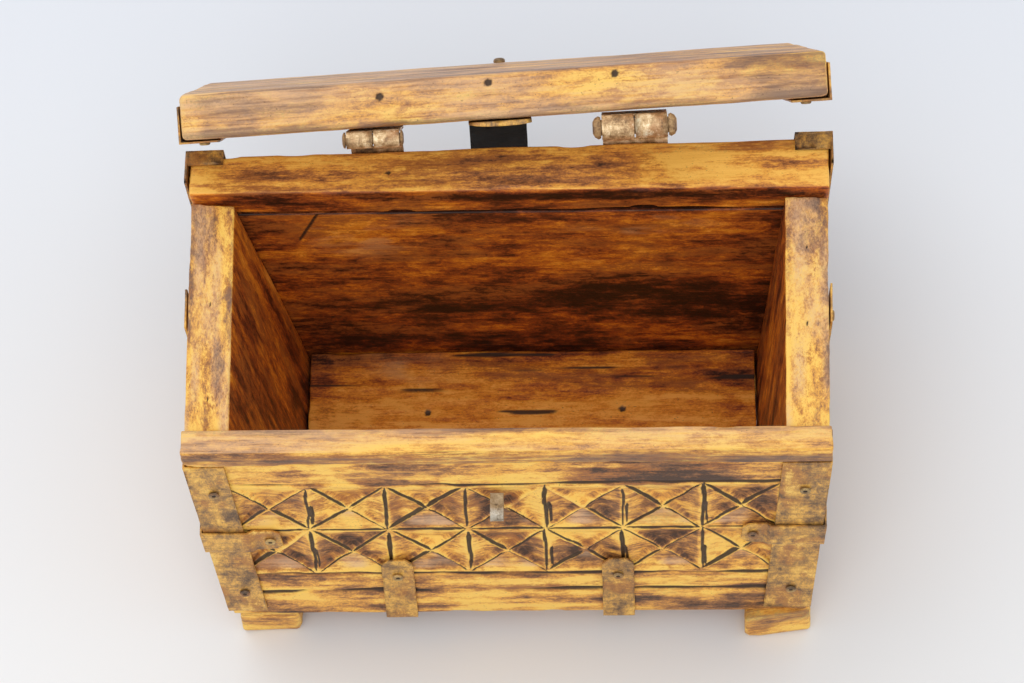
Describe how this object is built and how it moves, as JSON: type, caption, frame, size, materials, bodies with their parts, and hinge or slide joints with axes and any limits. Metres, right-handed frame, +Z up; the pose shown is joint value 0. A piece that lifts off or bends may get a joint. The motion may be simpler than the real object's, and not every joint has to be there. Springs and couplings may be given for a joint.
{
  "type": "jewelry box",
  "caption": "Rustic wooden jewelry box with flared sides, a chip-carved star band, iron straps, a thick flat lid on rolled strap hinges and a hasp.",
  "frame": {"origin": "on the surface that the feet stand on, at the middle of the footprint of the box with its lid open", "axes": "+X to the right along the front, +Y from the front towards the hinges, +Z up"},
  "size_m": [0.2612, 0.2478, 0.1858],
  "materials": {
    "painted_wood": "worn gold and ochre paint over dark brown wood, satin",
    "dark_wood": "ochre stain with dark streaks, matte",
    "strap_metal": "iron strap under worn gold paint, satin",
    "nail_metal": "domed nail heads, worn",
    "worn_steel": "bare steel, tarnished",
    "black_iron": "blackened iron, matte"
  },
  "bodies": {
    "box": {"back_panel": "painted_wood", "back_rail": "painted_wood", "base_strap_left": "strap_metal", "base_strap_right": "strap_metal", "corner_strap_back_left": "strap_metal", "corner_strap_back_right": "strap_metal", "corner_strap_front_left": "strap_metal", "corner_strap_front_right": "strap_metal", "floor_board": "dark_wood", "foot_back_left": "painted_wood", "foot_back_right": "painted_wood", "foot_front_left": "painted_wood", "foot_front_right": "painted_wood", "front_board": "painted_wood", "front_rail": "painted_wood", "hasp_staple": "worn_steel", "hinge_leaf_box_left": "strap_metal", "hinge_leaf_box_right": "strap_metal", "hinge_pin_left": "worn_steel", "hinge_pin_right": "worn_steel", "nail_back_base_left": "nail_metal", "nail_back_base_right": "nail_metal", "nail_back_corner_left": "nail_metal", "nail_back_corner_right": "nail_metal", "nail_base_left": "nail_metal", "nail_base_right": "nail_metal", "nail_corner_foot_left": "nail_metal", "nail_corner_foot_right": "nail_metal", "nail_corner_top_left": "nail_metal", "nail_corner_top_right": "nail_metal", "nail_hinge_box_left": "nail_metal", "nail_hinge_box_right": "nail_metal", "nail_side_foot_left": "nail_metal", "nail_side_foot_right": "nail_metal", "nail_side_top_left": "nail_metal", "nail_side_top_right": "nail_metal", "nail_wrap_left": "nail_metal", "nail_wrap_right": "nail_metal", "side_board_left": "painted_wood", "side_board_right": "painted_wood", "side_strap_left": "strap_metal", "side_strap_right": "strap_metal", "wrap_strap_left": "strap_metal", "wrap_strap_right": "strap_metal"},
    "lid": {"hasp_bracket": "strap_metal", "hasp_pin": "worn_steel", "hasp_rivet": "nail_metal", "hinge_leaf_lid_left": "strap_metal", "hinge_leaf_lid_right": "strap_metal", "lid_board": "painted_wood", "lid_strap_left": "strap_metal", "lid_strap_right": "strap_metal", "nail_hinge_lid_left": "nail_metal", "nail_hinge_lid_right": "nail_metal", "nail_lid_front_left": "nail_metal", "nail_lid_front_right": "nail_metal", "nail_lid_rear_left": "nail_metal", "nail_lid_rear_right": "nail_metal"},
    "hasp": {"hasp_plate": "black_iron"}
  },
  "joints": [
    {"name": "lid_hinge", "type": "hinge", "parent": "box", "child": "lid", "pos_m": [-0.05162, 0.01461, 0.1702], "axis": [0.9992, 0.0349, 0.0174], "range_deg": [0, 232.65]},
    {"name": "hasp_hinge", "type": "hinge", "parent": "lid", "child": "hasp", "pos_m": [-0.00813, 0.11681, 0.07584], "axis": [0.9976, 0.0698, 0.0003], "range_deg": [-63, 127.3]}
  ]
}
